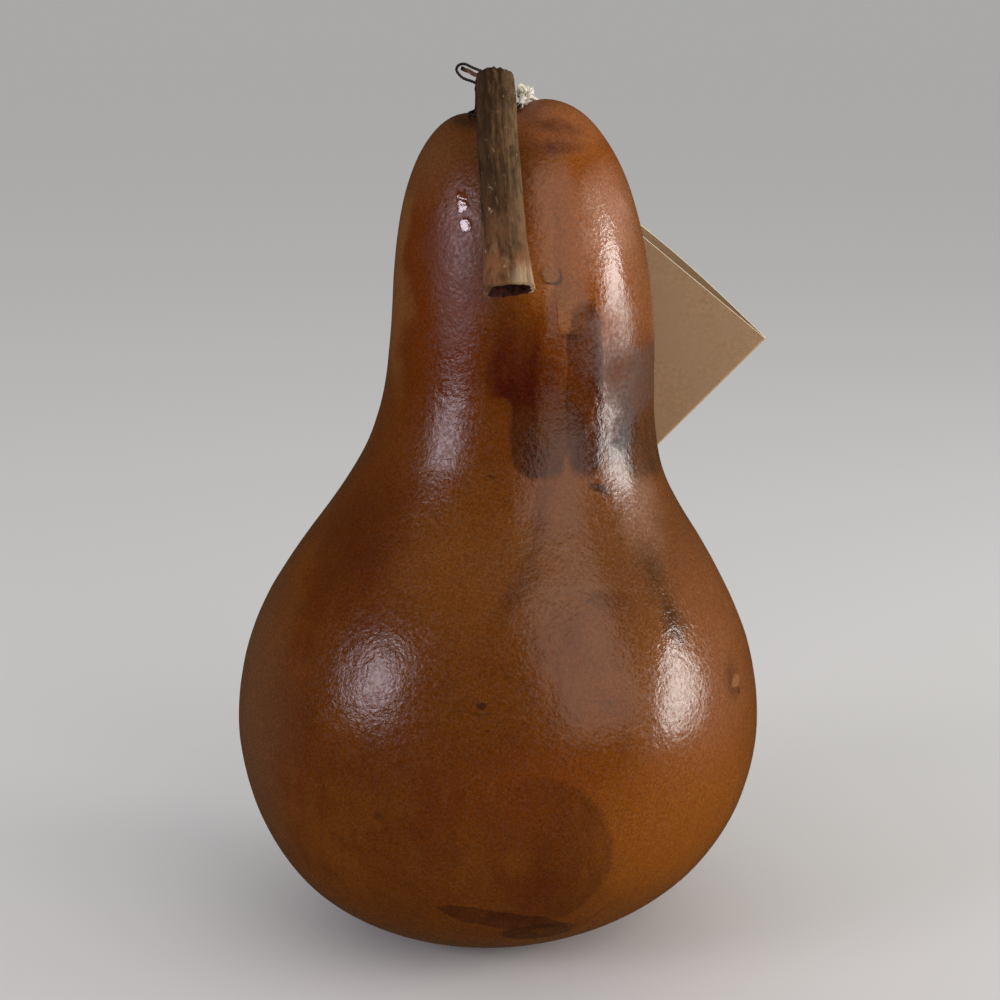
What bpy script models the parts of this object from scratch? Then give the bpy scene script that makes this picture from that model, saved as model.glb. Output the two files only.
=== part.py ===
"""Dried pear gourd that stands on its base, its stem hooked over the crown and down in front.

A folded blank card hangs behind the neck on a cotton string that is knotted at the stem.
Metres, +Z up. The origin is the middle of the flat the gourd stands on, and -Y is the front.
"""

import math

import bmesh
import bpy
import numpy as np
from mathutils import Matrix, Vector

# Gourd: its half outline as (radius, height), from the rim of the flat up to the crown
GOURD_OUTLINE = [
    (0.0183, 0.0000),
    (0.0298, 0.0038),
    (0.0464, 0.0145),
    (0.0577, 0.0320),
    (0.0613, 0.0500),
    (0.0567, 0.0745),
    (0.0472, 0.0925),
    (0.0375, 0.1070),
    (0.0320, 0.1220),
    (0.0299, 0.1450),
    (0.0271, 0.1670),
    (0.0214, 0.1835),
    (0.0132, 0.1922),
    (0.0010, 0.1951),
]
# The gourd grew a little to one side: its centre line as (height, sideways)
GOURD_LEAN = [
    (0.000, 0.0000),
    (0.012, 0.0014),
    (0.028, 0.0028),
    (0.050, 0.0031),
    (0.070, 0.0030),
    (0.090, 0.0039),
    (0.110, 0.0055),
    (0.132, 0.0083),
    (0.155, 0.0086),
    (0.180, 0.0076),
    (0.195, 0.0077),
]
NECK_HEIGHT = 0.145
GOURD_RINGS = 44
GOURD_SIDES = 64
LOBE_SIZE = 0.006
LOBE_TURN = math.radians(45)

# Crown: the hollow that the stem grows out of, and the round seat at its bottom
STEM_FOOT = Vector((0.0024, -0.0030, 0.1885))
HOLLOW_DEPTH = 0.0040
HOLLOW_RADIUS_ACROSS = 0.0080
HOLLOW_RADIUS_DEEP = 0.0150
SEAT_RADIUS = 0.0056
SEAT_GAP = 0.0003

# Stem: its middle line from the seat over the crown and down, with its widths
STEM_ROUTE = [
    (0.0024, -0.0030, 0.1885),
    (0.0024, -0.0034, 0.1928),
    (0.0025, -0.0100, 0.1972),
    (0.0027, -0.0185, 0.1949),
    (0.0031, -0.0260, 0.1868),
    (0.0038, -0.0313, 0.1770),
    (0.0056, -0.0386, 0.1556),
]
STEM_HALF_WIDTH = 0.0047
STEM_HALF_DEPTH = 0.0040
STEM_RINGS = 26
STEM_SIDES = 20
STEM_RIDGES = 5
STEM_RIDGE_SHARE = 0.05
STEM_FLARE_SHARE = 0.22
STEM_FLARE_LENGTH_SHARE = 0.25
PITH_SHARE = 0.62
PITH_DEPTH = 0.0030

# Dark waxed cord round the foot of the stem, with a small loop standing out to the left
LOOP_CORD_DIAMETER = 0.0006
LOOP_ROUTE = [
    (-0.0042, 0.0018, 0.2007),
    (-0.0026, 0.0021, 0.1997),
    (-0.0006, 0.0025, 0.1985),
    (0.0016, 0.0029, 0.1964),
    (0.0032, 0.0029, 0.1940),
    (0.0054, 0.0021, 0.1929),
    (0.0074, -0.0003, 0.1931),
    (0.0082, -0.0034, 0.1930),
    (0.0068, -0.0069, 0.1922),
    (0.0026, -0.0086, 0.1911),
    (-0.0016, -0.0072, 0.1908),
    (-0.0032, -0.0036, 0.1912),
    (-0.0022, -0.0001, 0.1916),
    (-0.0005, 0.0018, 0.1934),
    (-0.0006, 0.0021, 0.1962),
    (-0.0024, 0.0018, 0.1979),
    (-0.0044, 0.0016, 0.1986),
    (-0.0056, 0.0013, 0.1996),
    (-0.0061, 0.0010, 0.2007),
    (-0.0055, 0.0007, 0.2016),
    (-0.0043, 0.0006, 0.2018),
    (-0.0029, 0.0008, 0.2012),
    (-0.0012, 0.0012, 0.2005),
    (0.0008, 0.0014, 0.1996),
]
LOOP_POINTS = 56

# Cotton knot beside the stem, and the string from it to the card and back
KNOT_CENTRE = Vector((0.0094, -0.0006, 0.1960))
KNOT_HALF_SIZE = Vector((0.0017, 0.0020, 0.0025))
KNOT_LUMP = 0.00025
STRING_DIAMETER = 0.0010
STRING_ROUTE = [
    (0.0090, 0.0026, 0.1944),
    (0.0091, 0.0060, 0.1939),
    (0.0097, 0.0100, 0.1933),
    (0.0113, 0.0142, 0.1917),
    (0.0133, 0.0176, 0.1886),
    (0.0157, 0.0209, 0.1835),
    (0.0178, 0.0230, 0.1777),
    (0.0196, 0.0244, 0.1722),
    (0.0211, 0.0258, 0.1690),
    (0.0222, 0.0286, 0.1677),
    (0.0229, 0.0318, 0.1684),
    (0.0232, 0.0337, 0.1712),
    (0.0232, 0.0329, 0.1752),
    (0.0227, 0.0290, 0.1792),
    (0.0211, 0.0237, 0.1825),
    (0.0190, 0.0196, 0.1851),
    (0.0167, 0.0163, 0.1886),
    (0.0143, 0.0131, 0.1917),
    (0.0120, 0.0095, 0.1936),
    (0.0110, 0.0060, 0.1942),
    (0.0106, 0.0023, 0.1944),
]
STRING_POINTS = 52

# Folded card: its fold is on the right, and its rear leaf bows away from the front one
CARD_FOLD_TOP = Vector((0.0691, 0.0375, 0.1353))
CARD_WIDTH = 0.062
CARD_HEIGHT = 0.050
CARD_THICKNESS = 0.0004
CARD_FOLD_GAP = 0.0009
CARD_BOW = 0.0070
CARD_BOW_SPAN = 0.066
CARD_BOW_POINTS = 16
CARD_FOLD_POINTS = 5
CARD_ROLL = math.radians(40.75)
CARD_TILT = math.radians(16.5)
CARD_HOLE_RADIUS = 0.0020
CARD_HOLE_INSET = 0.0050


def clear_scene():
    for thing in list(bpy.data.objects):
        bpy.data.objects.remove(thing, do_unlink=True)


def finish(name, colour, roughness):
    """A plain material of one colour for a sub-part."""
    material = bpy.data.materials.new(name)
    material.use_nodes = True
    shader = material.node_tree.nodes["Principled BSDF"]
    shader.inputs["Base Color"].default_value = (*colour, 1.0)
    shader.inputs["Roughness"].default_value = roughness
    shader.inputs["Metallic"].default_value = 0.0
    return material


def place(name, data, material):
    """Puts a mesh or a curve in the scene under the sub-part's name."""
    data.materials.append(material)
    thing = bpy.data.objects.new(name, data)
    bpy.context.collection.objects.link(thing)
    return thing


def smooth_through(points, count):
    """Points at even steps along one natural cubic spline through the given points."""
    points = np.array(points, dtype=float)
    steps = np.linalg.norm(np.diff(points, axis=0), axis=1)
    along = np.concatenate(([0.0], np.cumsum(steps)))
    rows = np.eye(len(points))
    right = np.zeros_like(points)
    for i in range(1, len(points) - 1):
        rows[i, i - 1 : i + 2] = (steps[i - 1], 2 * (steps[i - 1] + steps[i]), steps[i])
        slope_after = (points[i + 1] - points[i]) / steps[i]
        slope_before = (points[i] - points[i - 1]) / steps[i - 1]
        right[i] = 6 * (slope_after - slope_before)
    bend = np.linalg.solve(rows, right)
    result = []
    for where in np.linspace(0.0, along[-1], count):
        i = min(int(np.searchsorted(along, where, side="right")) - 1, len(steps) - 1)
        before = along[i + 1] - where
        after = where - along[i]
        step = steps[i]
        curved = (bend[i] * before**3 + bend[i + 1] * after**3) / (6 * step)
        start = (points[i] / step - bend[i] * step / 6) * before
        end = (points[i + 1] / step - bend[i + 1] * step / 6) * after
        result.append(curved + start + end)
    return result


def loft(rings):
    """A closed mesh skinned over rings of points that run the same way round."""
    shape = bmesh.new()
    loops = [[shape.verts.new(point) for point in ring] for ring in rings]
    for lower, upper in zip(loops, loops[1:]):
        for i in range(len(lower)):
            j = (i + 1) % len(lower)
            shape.faces.new((lower[i], lower[j], upper[j], upper[i]))
    shape.faces.new(list(reversed(loops[0])))
    shape.faces.new(loops[-1])
    bmesh.ops.recalc_face_normals(shape, faces=shape.faces)
    return shape


def mesh_from(shape, name, sharp_angle):
    """Turns a bmesh into a mesh that is shaded smooth between its sharp edges."""
    mesh = bpy.data.meshes.new(name)
    shape.to_mesh(mesh)
    shape.free()
    mesh.shade_smooth()
    mesh.set_sharp_from_angle(angle=sharp_angle)
    return mesh


def guide(name, shape, matrix):
    """A cutting shape that is drawn as wire and isn't part of the object."""
    mesh = bpy.data.meshes.new(name)
    shape.to_mesh(mesh)
    shape.free()
    cutter = bpy.data.objects.new(name, mesh)
    cutter.matrix_world = matrix
    cutter.hide_render = True
    cutter.display_type = "WIRE"
    bpy.context.collection.objects.link(cutter)
    return cutter


def cut(thing, cutter):
    """Takes the cutter's shape out of the thing."""
    boolean = thing.modifiers.new("cut", "BOOLEAN")
    boolean.operation = "DIFFERENCE"
    boolean.solver = "EXACT"
    boolean.object = cutter


def gourd_ring(radius, height):
    """One level of the gourd: nearly round, moved by the lean and sunk near the stem."""
    heights, sideways = np.transpose(smooth_through(GOURD_LEAN, GOURD_RINGS))
    middle = float(np.interp(height, heights, sideways))
    ring = []
    for side in range(GOURD_SIDES):
        angle = 2 * math.pi * side / GOURD_SIDES
        reach = radius * (1 + LOBE_SIZE * math.cos(2 * (angle - LOBE_TURN)))
        x = middle + reach * math.cos(angle)
        y = reach * math.sin(angle)
        across = (x - STEM_FOOT.x) / HOLLOW_RADIUS_ACROSS
        deep = (y - STEM_FOOT.y) / HOLLOW_RADIUS_DEEP
        sunk = HOLLOW_DEPTH * math.exp(-(across**2) - deep**2) if height > NECK_HEIGHT else 0.0
        ring.append((x, y, height - sunk))
    return ring


def gourd(material):
    levels = smooth_through(GOURD_OUTLINE, GOURD_RINGS)
    body = loft([gourd_ring(radius, height) for radius, height in levels])
    thing = place("gourd", mesh_from(body, "gourd", math.radians(40)), material)
    seat = bmesh.new()
    seat_height = HOLLOW_DEPTH * 4
    bmesh.ops.create_cone(
        seat,
        cap_ends=True,
        segments=32,
        radius1=SEAT_RADIUS,
        radius2=SEAT_RADIUS,
        depth=seat_height,
    )
    middle = STEM_FOOT + Vector((0, 0, seat_height / 2 - SEAT_GAP))
    cut(thing, guide("stem_seat_cutter", seat, Matrix.Translation(middle)))
    return thing


def stem_ring(middle, tangent, half_width, half_depth):
    """A ridged, slightly flattened section square to the stem."""
    side = (Vector((1, 0, 0)) - tangent * tangent.x).normalized()
    out = side.cross(tangent)
    ring = []
    for i in range(STEM_SIDES):
        angle = 2 * math.pi * i / STEM_SIDES
        ridge = 1 + STEM_RIDGE_SHARE * math.cos(STEM_RIDGES * angle)
        reach = side * half_width * math.cos(angle) + out * half_depth * math.sin(angle)
        ring.append(middle + reach * ridge)
    return ring


def stem(material):
    line = [Vector(point) for point in smooth_through(STEM_ROUTE, STEM_RINGS)]
    rings = []
    for i, middle in enumerate(line):
        tangent = (line[min(i + 1, len(line) - 1)] - line[max(i - 1, 0)]).normalized()
        from_end = (1 - i / (len(line) - 1)) / STEM_FLARE_LENGTH_SHARE
        spread = 1 + STEM_FLARE_SHARE * max(0.0, 1 - from_end) ** 2
        rings.append(stem_ring(middle, tangent, STEM_HALF_WIDTH * spread, STEM_HALF_DEPTH * spread))
    pith_width = STEM_HALF_WIDTH * PITH_SHARE
    pith_depth = STEM_HALF_DEPTH * PITH_SHARE
    for bottom in (line[-1], line[-1] - tangent * PITH_DEPTH):
        rings.append(stem_ring(bottom, tangent, pith_width, pith_depth))
    return place("stem", mesh_from(loft(rings), "stem", math.radians(35)), material)


def tube(name, route, count, diameter, material):
    """A cord of the given diameter along a smooth line, with closed ends."""
    curve = bpy.data.curves.new(name, "CURVE")
    curve.dimensions = "3D"
    curve.bevel_depth = diameter / 2
    curve.bevel_resolution = 2
    curve.use_fill_caps = True
    spline = curve.splines.new("POLY")
    points = smooth_through(route, count)
    spline.points.add(len(points) - 1)
    for target, point in zip(spline.points, points):
        target.co = (*point, 1.0)
    return place(name, curve, material)


def string_knot(material):
    lump = bmesh.new()
    bmesh.ops.create_icosphere(lump, subdivisions=3, radius=1.0)
    for vertex in lump.verts:
        out = vertex.co.copy()
        bulge = math.sin(5 * out.x + 1) * math.sin(6 * out.y) * math.sin(5 * out.z + 2)
        for axis in range(3):
            half = KNOT_HALF_SIZE[axis] + KNOT_LUMP * bulge
            vertex.co[axis] = KNOT_CENTRE[axis] + out[axis] * half
    return place("string_knot", mesh_from(lump, "string_knot", math.radians(60)), material)


def card_section():
    """The folded card seen along its fold, as (distance from the fold, distance behind the front)."""
    front = [(CARD_WIDTH, 0.0), (0.0, 0.0)]
    fold_radius = CARD_FOLD_GAP / 2
    fold = []
    for i in range(1, CARD_FOLD_POINTS):
        turn = math.pi * i / CARD_FOLD_POINTS
        fold.append((-fold_radius * math.sin(turn), fold_radius * (1 - math.cos(turn))))
    rear = []
    for i in range(CARD_BOW_POINTS + 1):
        along = CARD_WIDTH * i / CARD_BOW_POINTS
        bow = CARD_BOW * math.sin(math.pi * along / CARD_BOW_SPAN)
        rear.append((along, CARD_FOLD_GAP + bow))
    middle = [np.array(point) for point in front + fold + rear]
    left = []
    right = []
    for i, point in enumerate(middle):
        run = middle[min(i + 1, len(middle) - 1)] - middle[max(i - 1, 0)]
        out = np.array((-run[1], run[0])) / np.linalg.norm(run) * CARD_THICKNESS / 2
        left.append(point + out)
        right.append(point - out)
    return left + right[::-1]


def hang_tag(material):
    level = Vector((1, 0, 0))
    upright = Vector((0, -math.sin(CARD_TILT), math.cos(CARD_TILT)))
    along_top = -math.cos(CARD_ROLL) * level + math.sin(CARD_ROLL) * upright
    down_fold = -math.sin(CARD_ROLL) * level - math.cos(CARD_ROLL) * upright
    behind = Vector((0, math.cos(CARD_TILT), math.sin(CARD_TILT)))
    card = bmesh.new()
    outline = [
        card.verts.new(CARD_FOLD_TOP + along_top * along + behind * back)
        for along, back in card_section()
    ]
    section = card.faces.new(outline)
    grown = bmesh.ops.extrude_face_region(card, geom=[section])
    moved = [item for item in grown["geom"] if isinstance(item, bmesh.types.BMVert)]
    bmesh.ops.translate(card, verts=moved, vec=down_fold * CARD_HEIGHT)
    bmesh.ops.recalc_face_normals(card, faces=card.faces)
    thing = place("hang_tag", mesh_from(card, "hang_tag", math.radians(30)), material)
    punch = bmesh.new()
    bmesh.ops.create_cone(
        punch,
        cap_ends=True,
        segments=24,
        radius1=CARD_HOLE_RADIUS,
        radius2=CARD_HOLE_RADIUS,
        depth=CARD_BOW * 4,
    )
    hole = CARD_FOLD_TOP + along_top * (CARD_WIDTH - CARD_HOLE_INSET) + down_fold * CARD_HOLE_INSET
    turn = behind.to_track_quat("Z", "Y").to_matrix().to_4x4()
    cut(thing, guide("card_hole_cutter", punch, Matrix.Translation(hole) @ turn))
    return thing


clear_scene()
stained_rind = finish("stained_rind", (0.28, 0.10, 0.04), 0.30)
dried_stem = finish("dried_stem", (0.13, 0.09, 0.06), 0.85)
waxed_cord = finish("waxed_cord", (0.03, 0.02, 0.02), 0.60)
cotton = finish("cotton", (0.80, 0.76, 0.66), 0.95)
kraft_card = finish("kraft_card", (0.42, 0.32, 0.21), 0.90)
gourd(stained_rind)
stem(dried_stem)
tube("stem_loop", LOOP_ROUTE, LOOP_POINTS, LOOP_CORD_DIAMETER, waxed_cord)
string_knot(cotton)
tube("tag_string", STRING_ROUTE, STRING_POINTS, STRING_DIAMETER, cotton)
hang_tag(kraft_card)
bpy.context.view_layer.update()
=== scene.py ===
import math
import random

import bmesh
import bpy
import numpy as np
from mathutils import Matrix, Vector, noise


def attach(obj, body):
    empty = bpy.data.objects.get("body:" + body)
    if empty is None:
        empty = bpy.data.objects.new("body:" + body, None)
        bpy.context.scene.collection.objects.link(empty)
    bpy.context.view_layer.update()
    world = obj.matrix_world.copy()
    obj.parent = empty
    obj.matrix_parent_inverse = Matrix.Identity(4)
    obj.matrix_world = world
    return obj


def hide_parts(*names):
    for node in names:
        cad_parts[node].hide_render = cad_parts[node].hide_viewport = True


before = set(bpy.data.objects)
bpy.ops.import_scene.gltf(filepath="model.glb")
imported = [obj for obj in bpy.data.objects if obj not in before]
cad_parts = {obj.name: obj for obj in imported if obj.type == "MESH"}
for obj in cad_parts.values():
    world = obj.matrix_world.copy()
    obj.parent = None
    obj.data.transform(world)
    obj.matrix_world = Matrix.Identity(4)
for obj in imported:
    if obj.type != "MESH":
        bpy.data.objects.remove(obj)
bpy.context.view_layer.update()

# Gourd: a pear-shaped fruit grown in one piece, dried hard, stained mahogany brown and varnished.
# It stands on its flattened underside, and its crown is sunk in a hollow round the foot of the stem.
# The levels follow the fruit from the underside up: height, radius and how far it leans sideways.
rind_levels = [
    (0.0000, 0.0183, 0.0000), (0.0019, 0.0247, 0.0002), (0.0042, 0.0309, 0.0005),
    (0.0072, 0.0369, 0.0009), (0.0109, 0.0424, 0.0013), (0.0152, 0.0473, 0.0017),
    (0.0203, 0.0516, 0.0022), (0.0259, 0.0551, 0.0027), (0.0320, 0.0579, 0.0030),
    (0.0383, 0.0599, 0.0031), (0.0448, 0.0611, 0.0031), (0.0514, 0.0615, 0.0031),
    (0.0580, 0.0611, 0.0030), (0.0645, 0.0600, 0.0030), (0.0709, 0.0582, 0.0030),
    (0.0771, 0.0559, 0.0032), (0.0830, 0.0530, 0.0035), (0.0888, 0.0497, 0.0038),
    (0.0943, 0.0461, 0.0042), (0.0997, 0.0423, 0.0045), (0.1052, 0.0387, 0.0050),
    (0.1110, 0.0356, 0.0056), (0.1172, 0.0333, 0.0065), (0.1236, 0.0318, 0.0073),
    (0.1301, 0.0309, 0.0081), (0.1367, 0.0304, 0.0086), (0.1433, 0.0301, 0.0088),
    (0.1499, 0.0296, 0.0088), (0.1564, 0.0289, 0.0085), (0.1629, 0.0280, 0.0082),
    (0.1694, 0.0267, 0.0079), (0.1758, 0.0249, 0.0077), (0.1819, 0.0224, 0.0076),
    (0.1875, 0.0188, 0.0076), (0.1921, 0.0139, 0.0076), (0.1945, 0.0078, 0.0077),
    (0.1953, 0.0012, 0.0077),
]
stem_foot = Vector((0.0024, -0.0030, 0.1885))


def place_in_mesh(piece):
    """Leaves the object at the origin, with its place and size in its mesh."""
    bpy.ops.object.mode_set(mode="OBJECT")
    bpy.ops.object.select_all(action="DESELECT")
    piece.select_set(True)
    bpy.context.view_layer.objects.active = piece
    bpy.ops.object.transform_apply(location=True, rotation=True, scale=True)


def finish_with(piece, kind, **settings):
    """Adds a modifier, sets it and applies it."""
    bpy.ops.object.select_all(action="DESELECT")
    piece.select_set(True)
    bpy.context.view_layer.objects.active = piece
    modifier = piece.modifiers.new(kind.lower(), kind)
    for name, value in settings.items():
        setattr(modifier, name, value)
    bpy.ops.object.modifier_apply(modifier=modifier.name)


bpy.ops.object.select_all(action="DESELECT")
height, radius, lean = rind_levels[0]
bpy.ops.mesh.primitive_circle_add(vertices=64, radius=radius, fill_type="NGON", location=(lean, 0, height))
rind = bpy.context.object
rind.name = "varnished_gourd"
bpy.ops.object.mode_set(mode="EDIT")
bpy.ops.mesh.select_mode(type="FACE")
bpy.ops.mesh.select_all(action="SELECT")
for (low, inner, left), (high, outer, right) in zip(rind_levels, rind_levels[1:]):
    bpy.ops.mesh.extrude_region_move(TRANSFORM_OT_translate={"value": (right - left, 0, high - low)})
    bpy.ops.transform.resize(value=(outer / inner, outer / inner, 1), center_override=(right, 0, high))
bpy.ops.mesh.select_all(action="SELECT")
bpy.ops.mesh.normals_make_consistent(inside=False)
place_in_mesh(rind)
finish_with(rind, "SUBSURF", levels=2, render_levels=2)

# the dried rind is never quite round: broad swellings, then smaller dents, none on the underside
even_below = 0.004
eased_over = 0.02
above_base = rind.vertex_groups.new(name="above_base")
for vertex in rind.data.vertices:
    share = min(1.0, max(0.0, (vertex.co.z - even_below) / eased_over))
    above_base.add([vertex.index], share, "REPLACE")
for lump_size, lump_height in ((0.045, 0.0012), (0.016, 0.0003)):
    swelling = bpy.data.textures.new("swelling", "CLOUDS")
    swelling.noise_scale = lump_size
    finish_with(
        rind, "DISPLACE", texture=swelling, strength=lump_height, mid_level=0.5, vertex_group="above_base"
    )

# the crown sinks towards the foot of the stem, and again a little where the knot lies
crown_above = 0.145
hollow_depth = 0.0040
hollow_reach = (0.0080, 0.0150)
knot_dip_x = 0.0078
knot_dip_depth = 0.0010
knot_dip_reach = 0.0030
for vertex in rind.data.vertices:
    if vertex.co.z > crown_above:
        across = (vertex.co.x - stem_foot.x) / hollow_reach[0]
        deep = (vertex.co.y - stem_foot.y) / hollow_reach[1]
        beside = (vertex.co.x - knot_dip_x) / knot_dip_reach
        vertex.co.z -= hollow_depth * math.exp(-(across**2) - deep**2)
        vertex.co.z -= knot_dip_depth * math.exp(-(beside**2) - deep**2)

# two drops of varnish ran together and dried beside the stem, on a patch of finer mesh
drop_middle = Vector((-0.0041, -0.0236, 0.1707))
drop_height = 0.00011
drop_reach = 0.007
finer_reach = 0.0062
drop_edge = 0.11
drops = (((-0.0045, 0.1729), (0.0012, 0.0023)), ((-0.0038, 0.1683), (0.0013, 0.0016)))
bpy.ops.object.mode_set(mode="EDIT")
bpy.ops.mesh.select_all(action="DESELECT")
shape = bmesh.from_edit_mesh(rind.data)
for face in shape.faces:
    face.select_set((face.calc_center_median() - drop_middle).length < finer_reach)
bmesh.update_edit_mesh(rind.data)
bpy.ops.mesh.subdivide(number_cuts=5, smoothness=0.0)
bpy.ops.mesh.vertices_smooth(factor=0.5, repeat=10)
bpy.ops.object.mode_set(mode="OBJECT")


def drop_level(place):
    """How far inside the drops' outline a place is: 0 or less outside, 1 in the middle of a drop."""
    level = 0.0
    if (place - drop_middle).length < drop_reach:
        for (x, z), (half_width, half_height) in drops:
            reach = ((place.x - x) / half_width) ** 2 + ((place.z - z) / half_height) ** 2
            reach *= 1 + 0.9 * noise.noise(place * 800)
            level += math.exp(-2.2 * reach)
    return (level - drop_edge) / (1 - drop_edge)


# the front of the belly has one more low swelling, on its right
belly_swelling = ((0.033, 0.0675), (0.036, 0.026))
belly_height = 0.0014
outward = [vertex.normal.copy() for vertex in rind.data.vertices]
for vertex, out in zip(rind.data.vertices, outward):
    (x, z), (half_width, half_height) = belly_swelling
    off_middle = ((vertex.co.x - x) / half_width) ** 2 + ((vertex.co.z - z) / half_height) ** 2
    if vertex.co.y < 0:
        vertex.co += out * belly_height * max(0.0, 1 - off_middle) ** 2
    vertex.co += out * drop_height * max(0.0, drop_level(vertex.co)) ** 0.2
rind.data.shade_smooth()


def node(tree, kind, sockets=None, **settings):
    """Adds a node, sets it, and fills its sockets with values or with other nodes' outputs."""
    added = tree.nodes.new(kind)
    for name, value in settings.items():
        setattr(added, name, value)
    for name, value in (sockets or {}).items():
        if isinstance(value, bpy.types.NodeSocket):
            tree.links.new(value, added.inputs[name])
        else:
            added.inputs[name].default_value = value
    return added


def calc(tree, operation, *values):
    """The result of one sum on values or on other nodes' outputs."""
    return node(tree, "ShaderNodeMath", dict(enumerate(values)), operation=operation).outputs[0]


def times(tree, one, other):
    """Two values multiplied."""
    return calc(tree, "MULTIPLY", one, other)


def make_uneven(tree, shader, height):
    """Makes a shader's surface uneven by a height in metres."""
    bump = node(tree, "ShaderNodeBump", {"Height": height, "Strength": 1.0, "Distance": 1.0})
    tree.links.new(bump.outputs[0], shader.inputs["Normal"])


def group_of(name, inputs, outputs):
    """An empty node group with its sockets, and its two end nodes."""
    tree = bpy.data.node_groups.new(name, "ShaderNodeTree")
    for socket, kind, value in inputs:
        made = tree.interface.new_socket(socket, in_out="INPUT", socket_type="NodeSocket" + kind)
        made.default_value = value
    for socket, kind in outputs:
        tree.interface.new_socket(socket, in_out="OUTPUT", socket_type="NodeSocket" + kind)
    return tree, tree.nodes.new("NodeGroupInput").outputs, tree.nodes.new("NodeGroupOutput")


def new_material(name):
    """A material with its shader, and its tree."""
    material = bpy.data.materials.new(name)
    material.use_nodes = True
    return material, material.node_tree, material.node_tree.nodes["Principled BSDF"]


def colour(red, green, blue):
    """A colour given the way a paint chart gives it, as 0 to 255."""
    return (*((value / 255) ** 2.2 for value in (red, green, blue)), 1.0)


def blend(tree, amount, under, over, how="MIX"):
    """Lays one colour over another by an amount."""
    mixed = tree.nodes.new("ShaderNodeMix")
    mixed.data_type = "RGBA"
    mixed.blend_type = how
    for socket, value in ((0, amount), (6, under), (7, over)):
        if isinstance(value, bpy.types.NodeSocket):
            tree.links.new(value, mixed.inputs[socket])
        else:
            mixed.inputs[socket].default_value = value
    return mixed.outputs[2]


def spread(tree, value, low, high, least=0.0, most=1.0):
    """Stretches the part of a value between low and high to a softened range."""
    ranged = node(tree, "ShaderNodeMapRange", {"Value": value, "From Min": low, "From Max": high,
                  "To Min": least, "To Max": most}, interpolation_type="SMOOTHSTEP")
    return ranged.outputs["Result"]


def clouds(tree, where, size, detail=3.0, rough=0.55, stretch=None):
    """Soft irregular patches of about the given size in metres."""
    if stretch:
        where = node(tree, "ShaderNodeMapping", {"Vector": where, "Scale": stretch}).outputs["Vector"]
    made = node(tree, "ShaderNodeTexNoise", {"Vector": where, "Scale": 1 / size, "Detail": detail,
                "Roughness": rough})
    return made.outputs["Fac"]


# one mark, most of them left by the stain and a few painted as light and shade: a patch from round to square,
# with a hard or a soft edge. It can fade towards its top, and its rim is where the wet stain dried darker.
stain_and_painted_light_mark, mark_in, mark_out = group_of(
    "stain_and_painted_light_mark",
    (("Position", "Vector", (0, 0, 0)), ("Middle", "Vector", (0, 0, 0)), ("Half Size", "Vector", (1, 1, 1)),
     ("Turn", "Float", 0.0), ("Squareness", "Float", 2.0), ("Softness", "Float", 0.2), ("Fade", "Float", 0.0),
     ("Amount", "Float", 1.0)),
    (("Mask", "Float"), ("Rim", "Float")),
)
turned = node(stain_and_painted_light_mark, "ShaderNodeVectorRotate", {"Vector": mark_in["Position"],
              "Center": mark_in["Middle"], "Angle": mark_in["Turn"]}, rotation_type="Y_AXIS")
from_middle = node(stain_and_painted_light_mark, "ShaderNodeVectorMath", {0: turned.outputs[0], 1: mark_in["Middle"]},
                   operation="SUBTRACT")
in_sizes = node(stain_and_painted_light_mark, "ShaderNodeVectorMath", {0: from_middle.outputs[0], 1: mark_in["Half Size"]},
                operation="DIVIDE")
parts = node(stain_and_painted_light_mark, "ShaderNodeSeparateXYZ", {0: in_sizes.outputs[0]}).outputs
powers = []
for part in (parts["X"], parts["Z"]):
    size = calc(stain_and_painted_light_mark, "ABSOLUTE", part)
    powers.append(calc(stain_and_painted_light_mark, "POWER", size, mark_in["Squareness"]))
total = calc(stain_and_painted_light_mark, "ADD", *powers)
inverse = calc(stain_and_painted_light_mark, "DIVIDE", 1.0, mark_in["Squareness"])
far = calc(stain_and_painted_light_mark, "POWER", total, inverse)
inner = calc(stain_and_painted_light_mark, "SUBTRACT", 1.0, mark_in["Softness"])
outer = calc(stain_and_painted_light_mark, "ADD", 1.0, mark_in["Softness"])
body = spread(stain_and_painted_light_mark, far, inner, outer, 1.0, 0.0)
rim_at = 0.93
rim_width = 0.10
from_rim = calc(stain_and_painted_light_mark, "ABSOLUTE", calc(stain_and_painted_light_mark, "SUBTRACT", far, rim_at))
rim = spread(stain_and_painted_light_mark, from_rim, 0.0, rim_width, 1.0, 0.0)
faded = calc(stain_and_painted_light_mark, "SUBTRACT", 1.0, mark_in["Fade"])
strong = spread(stain_and_painted_light_mark, parts["Z"], -0.6, 0.9, 1.0, faded)
amount = times(stain_and_painted_light_mark, strong, mark_in["Amount"])
for shown, socket in ((body, "Mask"), (rim, "Rim")):
    stain_and_painted_light_mark.links.new(times(stain_and_painted_light_mark, shown, amount), mark_out.inputs[socket])


def mark(tree, where, middle, half, turn=0.0, square=2.0, soft=0.2, fade=0.0, amount=1.0):
    """One stain or painted-light mark's mask and rim, seen from the front. Sizes are in millimetres, the turn
    in degrees.
    """
    settings = {
        "Position": where, "Middle": (middle[0] / 1000, 0, middle[1] / 1000),
        "Half Size": (half[0] / 1000, 1, half[1] / 1000), "Turn": math.radians(turn),
        "Squareness": square, "Softness": soft, "Fade": fade, "Amount": amount,
    }
    used = node(tree, "ShaderNodeGroup", settings, node_tree=stain_and_painted_light_mark)
    return used.outputs["Mask"], used.outputs["Rim"]


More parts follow.
